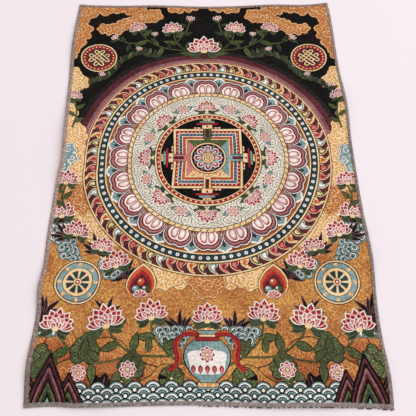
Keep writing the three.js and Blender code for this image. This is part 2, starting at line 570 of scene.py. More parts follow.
def palace(centre):
    """A square palace in coloured walls, with a gate in each side."""
    sides = [centre @ at(0, 0, 90 * side) for side in range(4)]
    for face in sides:
        for half, low, high, yarn in GATE:
            weave(yarn, box(-half, low, half, high), face)
        for x in (-25, -18, 18, 25):
            weave("white", box(x - 1.6, 67, x + 1.6, 75), face)
    for half, yarn in WALLS:
        weave(yarn, box(-half, -half, half, half), centre)
    for face, quarter in zip(sides, QUARTERS):
        for i in range(-7, 8):
            rounds(face @ at(i * 8.2, 62.4), DAB, (1.5, "pale_gold"))
            rounds(face @ at(i * 7.6, 55.7), DAB, (1.6, "teal"))
        weave(quarter, [(0, 0), (43.5, 43.5), (-43.5, 43.5)], face)
        weave("black", box(-9, 47, 9, 72), face)
        weave(quarter, box(-7.5, 42, 7.5, 72), face)
        weave("maroon", box(-3.5, 50, 3.5, 72), face)
        petal(face @ at(0, 74), 8, 7, "white", "crimson")


FLAMES = (
    ("crimson", "rose"), ("gold", "orange"), ("leaf", "pale_gold"), ("teal", "white"),
    ("rose", "crimson"),
)


def garland(centre):
    """Flowers by turns on the mandala's pale ring: a rosette, then a lotus."""
    for i, spot in enumerate(around(centre, 131, 16)):
        for side in (-1, 1):
            if i % 2:
                leaf(spot @ at(0, -2, 90 * side), 22, 9, 3 * side, "teal", "deep_teal")
            else:
                leaf(spot @ at(0, -7, 112 * side), 27, 10, 5 * side)
        if i % 2:
            rosette(spot, 14)
        else:
            lotus(spot @ at(0, -9, 0, 0.78))


def mandala(centre):
    """The great round in the middle, drawn from its rim inwards."""
    rounds(centre, RING, (254, "black"), (252.5, "pale_gold"), (250, "maroon"))
    for i, spot in enumerate(around(centre, 228, 75)):
        flame(spot, *FLAMES[i % len(FLAMES)])
    rounds(centre, RING, (229, "black"), (227.5, "pale_gold"), (224.5, "black"), (223, "deep_teal"))
    for spot in around(centre, 217.5, 96):
        rounds(spot, 9, (3.6, "white"))
        rounds(spot, 6, (1.5, "rose"))
    rounds(centre, RING, (212, "black"), (210.5, "pale_gold"), (208, "bronze"))
    for spot in around(centre, 168, 20, 9):
        petal(spot, 42, 30, "white", "teal", "deep_teal", 0.7)
    for spot in around(centre, 160, 20):
        throne_petal(spot)
    rounds(centre, RING, (166, "black"), (164.5, "pale_gold"), (158, "black"))
    for spot in around(centre, 161.3, 80):
        weave("bronze", [(-3.4, -2.6), (-0.6, -2.6), (3.0, 2.6), (0.2, 2.6)], spot)
    rounds(centre, RING, (156.5, "cream"))
    garland(centre)
    rounds(centre, INNER_RING, (111, "black"), (109.5, "pale_gold"), (106.5, "black"), (105.5, "crimson"))
    for spot in around(centre, 102.4, 60):
        rounds(spot, DAB, (2.2, "pale_gold"))
    rounds(centre, INNER_RING, (99.5, "pale_gold"), (98, "black"))
    palace(centre)
    rounds(centre, HUB, (38, "black"), (36.5, "pale_gold"), (34, "crimson"), (32.5, "black"))
    for spot in around(centre, 9, 8, 22.5):
        petal(spot, 22, 13, "teal", "deep_teal", "teal", 0.68)
    for spot in around(centre, 9, 8):
        petal(spot, 21, 15, "white", "crimson", "blush", 0.68)
    rounds(centre, 24, (13, "black"), (12, "pale_gold"), (9.5, "orange"), (7, "pale_gold"))
    rounds(centre, 24, (4.5, "leaf"), (2, "white"))


def pad(place, radius):
    """A round lotus leaf with its veins."""
    rounds(place, 24, (radius + 1.3, "black"), (radius, "moss"))
    foot, tip = radius * 0.1, radius * 0.93
    for spot in around(place, 0, 9, 20):
        weave("dark_leaf", [(-0.8, foot), (0.8, foot), (0.4, tip), (-0.4, tip)], spot)
    weave("black", [(-5, -radius * 1.1), (0, -radius * 0.1), (5, -radius * 1.1)], place)
    rounds(place, DAB, (radius * 0.12, "pale_gold"))


# The jewels' halo as length, width, yarn and how far down it starts, and the jewels themselves as
# x, y, yarn and shade
HALO = (
    (74, 60, "black", 12), (71, 57, "pale_gold", 11), (66, 52, "orange", 10),
    (54, 42, "crimson", 8), (44, 34, "maroon", 6),
)
JEWELS = ((-9, 8, "teal", "deep_teal"), (9, 8, "leaf", "dark_leaf"), (0, 22, "orange", "crimson"))


def jewels(place):
    """Three round jewels on a little lotus, in a halo of flame."""
    for length, width, yarn, down in HALO:
        weave(yarn, spindle(length, width, 0.4, 0.7), place @ at(0, -down))
    for x, y, yarn, shade in JEWELS:
        rounds(place @ at(x, y), JEWEL, (9.4, "black"), (8.4, shade))
        rounds(place @ at(x - 1, y + 1.4), 16, (6.3, yarn))
        rounds(place @ at(x - 2.6, y + 3.4), DAB, (2.2, "white"))
    fan(place, (-66, -33, 0, 33, 66), 15, 9, "white", "rose", "crimson", up=-6)


# A hill's outline, and its cracks as x, y, turn and length, all as shares of its size
CREST = (
    (-1, 0), (-0.8, 0.42), (-0.42, 0.62), (-0.2, 0.94), (0.12, 1), (0.36, 0.72), (0.7, 0.5), (1, 0),
)
CRACKS = ((0.1, 0.8, 200, 0.5), (-0.35, 0.45, 150, 0.4), (0.45, 0.42, 215, 0.45), (0.1, 0.35, 175, 0.3))
HILL_FOOT = -60


def hill(place, radius, height):
    """A rounded hill, gold at its crest and rust at its foot, with black cracks."""
    rise = open_curve([(radius * x, height * y) for x, y in CREST], 4)
    foot = [(radius, HILL_FOOT), (-radius, HILL_FOOT)]
    weave("black", [(p.x * 1.015, p.y + 1.6) for p in rise] + foot, place)
    for yarn, drop in (("ochre", 0), ("amber", 0.14), ("rust", 0.34), ("bronze", 0.6)):
        waver = 2.2 * (drop > 0)
        band = [(p.x, p.y * (1 - drop) + waver * math.sin(p.x * 0.35 + drop * 9)) for p in rise]
        weave(yarn, band + foot, place)
    for x, y, turn, length in CRACKS:
        path = open_curve([(0, 0), (2, length * height * 0.5), (-2, length * height)], 3)
        weave("black", ribbon(path, 2.2, 0.6), place @ at(x * radius, y * height, turn))


# A bush's tufts as x, y and radius
TUFTS = (
    (-12, 0, 11), (12, 1, 11), (-17, 13, 10), (16, 14, 11), (0, 8, 13), (-8, 24, 11), (9, 26, 10),
    (0, 36, 9),
)


def bush(place, size):
    """A clump of foliage: round tufts, one over another, on a dark shade."""
    for x, y, radius in TUFTS:
        rounds(place @ at(x * size, y * size), TUFT, (radius * size + 1.2, "black"))
    for i, (x, y, radius) in enumerate(TUFTS):
        spot = place @ at(x * size, y * size, 50 * i)
        rounds(spot, TUFT, (radius * size, "dark_leaf"))
        rounds(spot @ at(0.6, 0.8), TUFT, (radius * size * 0.86, "moss"))
        for dab in around(spot, radius * size * 0.45, 6):
            weave("dark_leaf", spindle(4.2 * size, 1.8 * size), dab)


# A rock's outline, its layers as x, y and length, and the layers' yarns by turns
ROCK = ((-24, 0), (-27, 18), (-17, 34), (-7, 30), (2, 47), (13, 38), (21, 42), (28, 20), (25, 0))
ROCK_LAYERS = (
    (-22, 6, 22), (-19, 3, 30), (-13, 5, 26), (-7, 8, 24), (-2, 2, 40), (5, 6, 33), (11, 4, 30),
    (17, 6, 31), (22, 3, 18),
)
ROCK_YARNS = ("maroon", "plum", "maroon", "charcoal")


def rock(place, size):
    """A dark rock in slanting layers, with a teal fringe at its foot."""
    weave("black", smooth([(x * size, y * size) for x, y in ROCK], 3), place)
    for i, (x, y, length) in enumerate(ROCK_LAYERS):
        path = open_curve([(x, y), (x + 1.5, y + length * 0.5), (x - 1, y + length)], 3)
        layer = ribbon([(px * size, py * size) for px, py in path], 3.6 * size, 1.2 * size)
        weave(ROCK_YARNS[i % 4], layer, place)
    fringe = [(7.5 * size, "black"), (6.4 * size, "teal"), (4.6 * size, "black"), (3.4 * size, "white")]
    for i in range(7):
        rounds(place @ at((-24 + i * 8) * size, -2, 12 * (3 - i) * 0.5), 12, *fringe)


# A frond's leaves as turn in degrees and length
FROND = (
    (-78, 26), (-58, 36), (-38, 30), (-20, 44), (2, 36), (20, 46), (40, 31), (60, 37), (80, 25),
)


def frond(place, size):
    """A dark plant: long pointed leaves fanned out from one root."""
    for turn, length in FROND:
        spot = place @ at(0, 0, -turn)
        bend = 6 if turn > 0 else -6
        weave("plum", blade(length * size * 1.05, 10 * size, bend * size), spot)
        weave("charcoal", blade(length * size, 8 * size, bend * size), spot)
        weave("black", blade(length * size * 0.8, 3 * size, bend * size * 0.6), spot)


# One curl of water, from outside in, as radius, how far it is moved from the middle, and yarn
CURL = (
    (12, 0, "black"), (10.8, 0.5, "teal"), (8.8, 1.2, "black"), (7.6, 1.7, "white"),
    (5.8, 2.3, "deep_teal"), (4.6, 2.7, "teal"), (2.6, 3.3, "black"),
)


def surf(place, size, seed):
    """A bank of breaking water: curls of teal, white and black."""
    draw = random.Random(seed)
    for row in range(4):
        for i in range(5 - row):
            x = (i - (4 - row) / 2) * 15 + draw.uniform(-2, 2)
            turn = draw.uniform(-50, 50)
            spot = place @ at(x * size, (27 - row * 10) * size, turn, size, 1 if i % 2 else -1)
            for radius, shift, yarn in CURL:
                rounds(spot @ at(shift, shift * 0.8), TUFT, (radius, yarn))


# The ground, and the plants and clouds on each half of it

def water_garden(half):
    """The plants, rocks and water at one side of the great round's foot."""
    set_out(
        half,
        (surf, (286, -148, 80), 0.9, 4),
        (surf, (266, -182, 70), 0.75, 6),
        (rock, (284, -128, -6), 0.85),
        (frond, (262, -156, -10), 0.9),
        (frond, (204, -186, 14), 0.95),
        (frond, (150, -234, -8), 0.9),
        (surf, (176, -226, 8), 0.7, 9),
        (lotus, (278, -108, -8, 0.95)),
        (lotus, (246, -146, 10, 0.9)),
        (lotus, (168, -208, -14, 0.95)),
        (lotus, (196, -176, 12, 0.75)),
        (frond, (288, -300, 20), 0.9),
        (frond, (176, -300, -12), 0.8),
        (frond, (46, -330, -30), 0.9),
        (surf, (58, -352, 0), 0.85, 12),
    )


def cloud_collar(centre):
    """Scroll clouds round the lower half of the great round, large and small by turns."""
    step = 360 / 21
    for i, spot in enumerate(around(centre, 262, 21, 180 - 4 * step)):
        if i < 9:
            crown, yarn, rim = (17, "gold", "pale_gold") if i % 2 else (21, "amber", "gold")
            cloud(spot, [(-17, 0, 15), (17, 0, 15), (0, 9, crown)], yarn, rim)


def night_vine(half):
    """The dim vine that fills one side of the black ground beside the spray."""
    path = [(96, 292), (140, 298), (182, 274), (206, 236), (246, 214), (276, 184)]
    stem(half, path, 1.8, "dark_leaf")
    draw = random.Random(5)
    for i, point in enumerate(open_curve(path, 6)[1:]):
        for side in (-1, 1):
            turn = side * draw.uniform(35, 75) - 40
            spot = half @ at(point.x, point.y, turn, draw.uniform(0.8, 1.1))
            leaf(spot, 20, 8, 3 * side, "dark_leaf" if i % 3 else "moss", "charcoal")
    for x, y, turn in ((150, 306, 20), (196, 262, -50), (232, 232, 30), (268, 200, -30)):
        bud(half @ at(x, y, turn, 0.9))


def gold_ground():
    """The gold lower half, its upper edge a bank of cloud."""
    edge = open_curve([(-310, 150), (-268, 40), (-246, -60), (-206, -140), (-130, -200), (0, -236)], 5)
    half = [(point.x, point.y) for point in edge]
    right = [(-x, y) for x, y in reversed(half)]
    weave("ochre", half + right + [(310, -460), (-310, -460)], WHOLE)
    lobes = [(point.x, point.y, 21 + 6 * math.sin(2.3 * i)) for i, point in enumerate(edge)]
    cloud(WHOLE, lobes)
    cloud(WHOLE, [(-x, y, radius) for x, y, radius in lobes])


def top_clouds(half):
    corner = [(-305, 300), (-285, 350), (-300, 400), (-270, 440), (-215, 452), (-160, 448)]
    cloud(half, bank(corner, 25, 3), "amber", "gold")
    cloud(half, bank([(-230, 372), (-190, 385), (-150, 412), (-118, 420)], 17, 8), "amber", "gold")
    cloud(half, bank([(-30, 455), (-75, 448)], 18, 5), "amber", "gold")
    cloud(half, bank([(-296, 195), (-276, 215), (-296, 240)], 16, 6))


# The sprays' stems as their points, and their leaves as x, y, turn and length

UPPER_STEMS = (
    [(0, 285), (28, 300), (62, 335), (70, 368)],
    [(40, 310), (90, 318), (128, 340), (150, 372)],
    [(128, 340), (165, 330), (196, 342)],
    [(62, 335), (40, 372), (34, 402)],
)
UPPER_LEAVES = (
    (22, 298, -75, 34), (40, 312, 20, 28), (60, 330, -70, 34), (66, 350, 55, 30),
    (92, 318, -150, 32), (104, 324, -30, 30), (128, 338, -110, 34), (140, 352, 48, 30),
    (150, 370, -70, 26), (168, 330, -160, 26), (180, 333, -20, 24), (48, 360, 80, 26),
    (38, 385, -60, 24), (36, 396, 50, 22), (80, 312, 10, 22), (120, 330, 30, 24),
    (12, 300, 30, 24), (196, 342, -110, 24),
)
LOWER_STEMS = (
    [(18, -395), (60, -372), (92, -338), (98, -300)],
    [(60, -372), (120, -368), (160, -340), (172, -312)],
    [(120, -368), (190, -380), (240, -352), (262, -322)],
)
LOWER_LEAVES = (
    (40, -384, 50, 34), (58, -372, -20, 34), (74, -358, 70, 34), (88, -342, -75, 34),
    (96, -318, 50, 28), (112, -369, -140, 34), (128, -364, 20, 34), (148, -350, -100, 34),
    (166, -328, 60, 30), (190, -380, -170, 34), (208, -372, 10, 34), (232, -358, -110, 34),
    (252, -336, 50, 28), (100, -366, 10, 28), (180, -378, -40, 30), (270, -318, -100, 26),
)


def lotus_spray(half):
    """Stems, leaves, flowers and buds at one side above the round."""
    for path in UPPER_STEMS:
        stem(half, path)
    for x, y, turn, length in UPPER_LEAVES:
        yarn = "dark_leaf" if length < 28 else "leaf"
        leaf(half @ at(x, y, turn), length, length * 0.36, 4, yarn, "black")
    set_out(
        half,
        (lotus, (72, 372, -10, 0.86)),
        (lotus, (152, 374, -20, 0.74)),
        (bud, (34, 400, 12, 1.2)),
        (bud, (196, 342, -48, 1.1)),
        (bud, (112, 352, -8, 0.9)),
    )


def lower_spray(half):
    """The flowers at one side of the vase."""
    for path in LOWER_STEMS:
        stem(half, path)
    for x, y, turn, length in LOWER_LEAVES:
        leaf(half @ at(x, y, turn), length, length * 0.4, 5)
    set_out(
        half,
        (lotus, (98, -304, -6, 1.0)),
        (lotus, (176, -316, -12, 1.15)),
        (lotus, (262, -322, 8, 1.05)),
        (rosette, (132, -392), 15),
        (rosette, (214, -396), 14),
    )


def side_sprig(half):
    """Two sprigs in the narrow space beside the round."""
    stem(half, [(282, 90), (276, 130), (284, 170)])
    for spot in ((280, 105, 60), (278, 120, -50), (278, 140, 55), (281, 155, -60)):
        leaf(half @ at(*spot), 24, 9, 3)
    lotus(half @ at(284, 172, 0, 0.62))
    stem(half, [(272, -96), (283, -70), (277, -40)])
    for spot in ((276, -88, -60), (281, -74, 50), (283, -60, -55)):
        leaf(half @ at(*spot), 24, 9, 3)
    lotus(half @ at(279, -38, 0, 0.85))


def landscape(half):
    """The hills, rocks and bushes at one side of the vase."""
    set_out(
        half,
        (hill, (262, -396), 110, 78),
        (rock, (280, -330), 0.95),
        (hill, (170, -436), 120, 96),
        (bush, (206, -372), 0.95),
        (bush, (278, -396), 1.05),
        (hill, (66, -452), 84, 66),
        (bush, (126, -398), 0.85),
        (rock, (166, -436), 0.85),
        (pad, (60, -408, 100), 20),
        (pad, (142, -412, 182), 18),
    )


def draw_picture():
    centre = at(0, 22)
    halves = [at(0, 0, 0, 1, flip) for flip in (-1, 1)]
    cloth = box(-CLOTH_HALF_WIDTH, -CLOTH_HALF_HEIGHT, CLOTH_HALF_WIDTH, CLOTH_HALF_HEIGHT)
    weave("black", cloth, WHOLE)
    rounds(centre, INNER_RING, (287, "charcoal"), (277, "maroon"), (264, "plum"), (256.5, "rose"))
    for half in halves:
        night_vine(half)
        top_clouds(half)
    gold_ground()
    cloud_collar(centre)
    for half, flip in zip(halves, (-1, 1)):
        lobes = ((300, 20, 17), (286, 36, 14), (292, -2, 13), (278, 18, 11))
        cloud(WHOLE, [(flip * x, y, radius) for x, y, radius in lobes], "teal", "white")
        landscape(half)
        water_garden(half)
        lower_spray(half)
        lotus_spray(half)
        side_sprig(half)
    scallop_waves(-315, 315, -452, -424)
    for x in (-262, 262):
        peaks(at(x, -452))
    vase(at(0, -424, 0, 1.12))
    for flip in (-1, 1):
        jewels(at(flip * 118, -262, 0, 0.95))
        wheel(at(flip * 232, -240))
        knot(at(flip * 236, 286))
    lotus(at(0, 312, 0, 1.3))
    mandala(centre)


draw_picture()


# The cloth: one closed sheet, its upper face cut along the outlines of the woven shapes

GRID_STEP = 11
BACK_STEP = 15
YARN_WANDER = 0.03
OFF_STRAIGHT = 0.02
OUTLINE_DIGITS = 2
LEAST_CUT = 0.0001


def middle_of(points, triangle):
    return sum((points[i] for i in triangle), Vector((0, 0))) / 3


def grid_lines(half, step):
    cells = round(2 * half / step)
    return [-half + 2 * half * i / cells for i in range(cells + 1)]


def grid_points(half_width, half_height, step):
    lines = grid_lines(half_height, step)
    return [Vector((x, y)) for x in grid_lines(half_width, step) for y in lines]


def border_rise(x, y):
    """The cloth's border is raised by the thread that wraps round under it."""
    inside = min(PANEL_WIDTH / 2 - abs(x), PANEL_HEIGHT / 2 - abs(y))
    return EDGE_INSET * (1 - min(max((inside - EDGING_WIDTH) / (2 * EDGING_WIDTH), 0), 1))


def counterclockwise(outline):
    area = sum(a.x * b.y - b.x * a.y for a, b in zip(outline, outline[1:] + outline[:1]))
    return outline if area > 0 else outline[::-1]


def covers(outline, x, y):
    """Whether a point lies within an outline."""
    within = False
    last_x, last_y = outline[-1]
    for next_x, next_y in outline:
        if (next_y > y) != (last_y > y):
            crossing = next_x + (last_x - next_x) * (y - next_y) / (last_y - next_y)
            within = within != (x < crossing)
        last_x, last_y = next_x, next_y
    return within


def cut_every_outline():
    """The panel's face cut along every shape: points, triangles, and the yarn on each triangle."""
    points, loops = [], []
    draw = random.Random(1)
    for i, (_, outline) in enumerate(picture):
        outline = counterclockwise(outline)
        loops.append(list(range(len(points), len(points) + len(outline))))
        wander = YARN_WANDER if i else 0
        for point in outline:
            points.append(point + Vector((draw.uniform(-wander, wander), draw.uniform(-wander, wander))))
    outlines = [[points[i].to_tuple() for i in loop] for loop in loops]
    made = delaunay_2d_cdt(points, [], loops, 0, LEAST_CUT, True)
    points = made[0]
    triangles, yarns = [], []
    for triangle, over in zip(made[2], made[5]):
        if 0 in over:
            middle = middle_of(points, triangle)
            on_top = next(i for i in sorted(over, reverse=True) if i == 0 or covers(outlines[i], *middle))
            triangles.append(triangle)
            yarns.append(picture[on_top][0])
    return points, triangles, yarns


def seen_outlines(points, triangles, yarns):
    """Which points are joined by an edge where two yarns meet, or by the cloth's border."""
    beside = {}
    for (a, b, c), yarn in zip(triangles, yarns):
        beside[a, b] = beside[b, c] = beside[c, a] = yarn
    joined = {}
    for (a, b), yarn in beside.items():
        start, end = (tuple(round(part, OUTLINE_DIGITS) for part in points[i]) for i in (a, b))
        if beside.get((b, a)) != yarn and start != end:
            joined.setdefault(start, set()).add(end)
            joined.setdefault(end, set()).add(start)
    return joined


def straighten(joined):
    """Leave out the points that an outline passes without a bend."""
    for point in sorted(joined):
        if len(joined[point]) != 2:
            continue
        start, end = sorted(joined[point])
        chord = Vector(end) - Vector(start)
        off = abs(chord.cross(Vector(point) - Vector(start))) / chord.length
        if off < OFF_STRAIGHT and chord.length < GRID_STEP and end not in joined[start]:
            del joined[point]
            joined[start] = joined[start] - {point} | {end}
            joined[end] = joined[end] - {point} | {start}


def cut_face():
    """The panel's upper face: points, triangles, and the yarn that shows on each triangle."""
    fine_points, fine_triangles, fine_yarns = cut_every_outline()
    joined = seen_outlines(fine_points, fine_triangles, fine_yarns)
    straighten(joined)
    order = {point: i for i, point in enumerate(sorted(joined))}
    edges = [(order[start], order[end]) for start in order for end in sorted(joined[start]) if start < end]
    points = [Vector(point) for point in order]
    points += grid_points(CLOTH_HALF_WIDTH, CLOTH_HALF_HEIGHT, GRID_STEP)
    points, _, triangles = delaunay_2d_cdt(points, edges, [], 0, LEAST_CUT, False)[:3]
    flat = [point.to_3d() for point in fine_points]
    fine_cut = BVHTree.FromPolygons(flat, fine_triangles, all_triangles=True)
    yarns = []
    for triangle in triangles:
        middle = middle_of(points, triangle)
        yarns.append(fine_yarns[fine_cut.find_nearest(middle.to_3d())[2]])
    return points, triangles, yarns


def upper_side(x, y):
    return laid(x, y, CLOTH_THICKNESS + border_rise(x, y))


def lower_side(x, y):
    return laid(x, y, border_rise(x, y))


# The cloth's own map: how many map units a millimetre takes, and where its two sides start. The
# cut edge is spread out round the back.
FACE_CHART = (0.00107, 0.006, 0.006)
BACK_CHART = (0.00054, 0.666, 0.01)
RIM_SPREAD = 1.01


def chart_place(chart, x, y):
    """Where a point of the flat cloth lies on the cloth's own map."""
    scale, left, bottom = chart
    return left + (x + PANEL_WIDTH / 2) * scale, bottom + (y + PANEL_HEIGHT / 2) * scale


def add_face(mesh_maker, verts, slot, map_layer, chart, flats):
    face = mesh_maker.faces.new(verts)
    face.material_index = slot
    face.smooth = True
    for loop, flat in zip(face.loops, flats):
        loop[map_layer].uv = chart_place(chart, *flat)


def make_panel():
    points, triangles, yarns = cut_face()
    slots = {yarn: i for i, yarn in enumerate(YARNS)}
    mesh_maker = bmesh.new()
    map_layer = mesh_maker.loops.layers.uv.new("OFBake")
    upper = [mesh_maker.verts.new(upper_side(*point)) for point in points]
    for triangle, yarn in zip(triangles, yarns):
        verts = [upper[i] for i in triangle]
        flats = [points[i] for i in triangle]
        add_face(mesh_maker, verts, slots[yarn], map_layer, FACE_CHART, flats)
    add_back(mesh_maker, map_layer, upper, points, len(slots))
    return finished("brocade_panel", mesh_maker, *yarn_looks.values(), back_material())


def finished(name, mesh_maker, *looks):
    """The object of a shape that is done, in its materials."""
    mesh = bpy.data.meshes.new(name)
    mesh_maker.to_mesh(mesh)
    mesh_maker.free()
    for look in looks:
        mesh.materials.append(look)
    thing = bpy.data.objects.new(name, mesh)
    bpy.context.scene.collection.objects.link(thing)
    return thing


def add_back(mesh_maker, map_layer, upper, points, slot):
    """The reverse of the cloth, and the cut edge that joins it to the face."""
    names = {vert: i for i, vert in enumerate(upper)}
    rim = [(names[loop.vert], names[loop.link_loop_next.vert])
           for edge in mesh_maker.edges if edge.is_boundary for loop in edge.link_loops]
    rim_points = [i for i, _ in rim]
    order = {i: place for place, i in enumerate(rim_points)}
    flats = [points[i] for i in rim_points]
    flats += grid_points(PANEL_WIDTH / 2 - EDGING_WIDTH, PANEL_HEIGHT / 2 - EDGING_WIDTH, BACK_STEP)
    edges = [(order[a], order[b]) for a, b in rim]
    flats, _, triangles, origins = delaunay_2d_cdt(flats, edges, [], 0, LEAST_CUT, True)[:4]
    lower = [mesh_maker.verts.new(lower_side(*flat)) for flat in flats]
    for triangle in triangles:
        verts = [lower[i] for i in reversed(triangle)]
        places = [flats[i] for i in reversed(triangle)]
        add_face(mesh_maker, verts, slot, map_layer, BACK_CHART, places)
    below = {origin: i for i, row in enumerate(origins) for origin in row}
    for a, b in rim:
        verts = [upper[b], upper[a], lower[below[order[a]]], lower[below[order[b]]]]
        places = [points[b] * RIM_SPREAD, points[a] * RIM_SPREAD, points[a], points[b]]
        add_face(mesh_maker, verts, slot, map_layer, BACK_CHART, places)
    bmesh.ops.triangulate(mesh_maker, faces=[face for face in mesh_maker.faces if len(face.verts) > 3])


def srgb(dye):
    channels = [channel / 255 for channel in dye]
    return [c / 12.92 if c <= 0.04045 else ((c + 0.055) / 1.055) ** 2.4 for c in channels] + [1.0]


class Shader:
    """A material's nodes, joined as they are added."""

    def __init__(self, name):
        self.material = bpy.data.materials.new(name)
        self.material.use_nodes = True
        self.tree = self.material.node_tree
        self.surface = self.tree.nodes["Principled BSDF"]

    def add(self, kind, inputs=(), **settings):
        node = self.tree.nodes.new("ShaderNode" + kind)
        for name, value in settings.items():
            setattr(node, name, value)
        for name, value in dict(inputs).items():
            self.join(value, node.inputs[name])
        return node

    def join(self, value, socket):
        if isinstance(value, bpy.types.NodeSocket):
            self.tree.links.new(value, socket)
        else:
            socket.default_value = value

    def finish(self, **sockets):
        """Sets the surface's own sockets, a space in whose name is written as _ here."""
        for name, value in sockets.items():
            self.join(value, self.surface.inputs[name.replace("_", " ")])
        return self.material

    def maths(self, operation, *values):
        return self.add("Math", dict(enumerate(values)), operation=operation).outputs[0]

    def vectors(self, operation, *values):
        return self.add("VectorMath", dict(enumerate(values)), operation=operation).outputs[0]

    def mix(self, share, first, second):
        return self.add("Mix", {0: share, 6: first, 7: second}, data_type="RGBA").outputs[2]

    def ramp(self, value, low, high):
        """How far a value has come from low to high, kept between 0 and 1."""
        ends = {"Value": value, "From Min": low, "From Max": high}
        return self.add("MapRange", ends, clamp=True).outputs[0]

    def place(self, *scale):
        """The place on the piece, in cells, of which so many fill a metre along each axis."""
        where = self.add("TexCoord").outputs["Object"]
        scale = scale if len(scale) == 3 else scale * 3
        return self.add("Mapping", {"Vector": where, "Scale": scale}).outputs[0]

    def noise(self, detail, *scale):
        inputs = {"Vector": self.place(*scale), "Scale": 1.0, "Detail": detail}
        return self.add("TexNoise", inputs).outputs[0]

    def bump(self, strength, distance, height):
        inputs = {"Strength": strength, "Distance": distance, "Height": height}
        return self.add("Bump", inputs).outputs[0]


CURL_BEND = 0.34
CURL_SCATTER = 0.85
CURL_SOFTNESS = 0.06


def curl_lines(shader, size, spacing, width):
    """Woven curls: a spiral line about each of many scattered points, 1 on the line and 0 off it."""
    straight = shader.place(1 / (size * MM))
    bend = shader.add("TexNoise", {"Vector": straight, "Scale": 2.2, "Detail": 1.0}).outputs["Color"]
    reach, back = (CURL_BEND, CURL_BEND, 0), (-CURL_BEND / 2, -CURL_BEND / 2, 0)
    where = shader.vectors("ADD", straight, shader.vectors("MULTIPLY_ADD", bend, reach, back))
    scatter = {"Vector": where, "Scale": 1.0, "Randomness": CURL_SCATTER}
    cells = shader.add("TexVoronoi", scatter, voronoi_dimensions="2D")
    away = shader.vectors("SUBTRACT", where, cells.outputs["Position"])
    parts = shader.add("SeparateXYZ", {0: away})
    turns = shader.maths("DIVIDE", shader.maths("ARCTAN2", parts.outputs[1], parts.outputs[0]), 2 * math.pi)
    draw = shader.add("SeparateColor", {0: cells.outputs["Color"]})
    hand = shader.maths("MULTIPLY_ADD", shader.maths("GREATER_THAN", draw.outputs[0], 0.5), 2.0, -1.0)
    out = shader.maths("MULTIPLY", cells.outputs["Distance"], size / spacing)
    step = shader.maths("FRACT", shader.maths("MULTIPLY_ADD", turns, hand, out))
    return shader.ramp(step, width + CURL_SOFTNESS, width - CURL_SOFTNESS)


# The weave: the size of one yarn's float, and how many clumps, broad patches and ribs fill a metre
FLOAT_LENGTH = 1.5
FLOAT_HEIGHT = 1.0
CLUMPS = 210
PATCHES = 17
RIBS = 420
SPECKLE_SOFTNESS = 0.09


def yarn_material(name, dye, speckle, share, curls=None):
    shader = Shader(name + "_yarn")
    cell = shader.vectors("FLOOR", shader.place(1 / (FLOAT_LENGTH * MM), 1 / (FLOAT_HEIGHT * MM), 0))
    draw = shader.add("TexWhiteNoise", {"Vector": cell}, noise_dimensions="3D").outputs["Value"]
    clump = shader.noise(2, CLUMPS)
    drift = shader.noise(1, PATCHES)
    uneven = shader.maths("MULTIPLY_ADD", drift, 0.7, clump)
    both = shader.maths("MULTIPLY_ADD", draw, 0.45, uneven)
    bound = 1.42 - share * 0.72
    shown = shader.ramp(both, bound - SPECKLE_SOFTNESS, bound + SPECKLE_SOFTNESS)
    colour = shader.mix(shown, srgb(dye), srgb(speckle))
    if curls:
        curl_dye, *sizes = curls
        line = shader.maths("MULTIPLY", curl_lines(shader, *sizes), 0.9)
        colour = shader.mix(line, colour, srgb(curl_dye))
    tone = shader.maths("MULTIPLY_ADD", draw, 0.3, 0.84)
    colour = shader.add("VectorMath", {0: colour, "Scale": tone}, operation="SCALE").outputs[0]
    rough = shader.maths("MULTIPLY_ADD", draw, 0.16, 0.76)
    ribs = {"Vector": shader.place(1), "Scale": RIBS, "Distortion": 1.5}
    rib = shader.add("TexWave", ribs, bands_direction="Y").outputs["Fac"]
    bump = shader.bump(0.5, 0.25 * MM, shader.maths("MULTIPLY_ADD", draw, 0.6, rib))
    return shader.finish(Base_Color=colour, Roughness=rough, Normal=bump, Specular_IOR_Level=0.06)


def back_material():
    shader = Shader("reverse_floats")
    streaks = shader.noise(2, 60, 900, 60)
    patch = shader.noise(4, 22)
    dark = shader.mix(streaks, srgb((46, 40, 38)), srgb((150, 112, 78)))
    colour = shader.mix(patch, dark, srgb((186, 150, 108)))
    return shader.finish(Base_Color=colour, Roughness=0.85)


yarn_looks = {yarn: yarn_material(yarn, *look) for yarn, look in YARNS.items()}
panel = make_panel()


# The edging: thread wound round the cloth's edge, stitch by stitch

STITCH_STEP = 1.05
STITCH_DRIFT = 0.9
THREAD_RADIUS = 0.43
NEEDLE_ROW = 5.3
NEEDLE_STEP = 0.8
NEEDLE_HEIGHTS = (2.95, 3.0, 2.95, 2.5)
NEEDLE_RADIUS = 0.24
FACE_HEIGHT = 2.2

# One stitch, from the needle hole over the face, round the edge, back underneath: how far in from
# the outer edge, how high, and how far along the stitch
STITCH = (
    (6.5, 2.10, 0.00), (5.2, 2.45, 0.12), (2.8, 2.45, 0.30), (0.9, 2.25, 0.44), (0.4, 1.40, 0.50),
    (0.9, 0.60, 0.56), (3.0, 0.46, 0.72), (6.0, 0.50, 0.94),
)


def run_point(side, along, inwards, height):
    """A point of an edging run: how far along its edge, in from the edge, and up."""
    half_width, half_height = PANEL_WIDTH / 2, PANEL_HEIGHT / 2
    if side == "bottom":
        return laid(along, inwards - half_height, height)
    if side == "top":
        return laid(-along, half_height - inwards, height)
    if side == "right":
        return laid(half_width - inwards, along, height)
    return laid(inwards - half_width, -along, height)


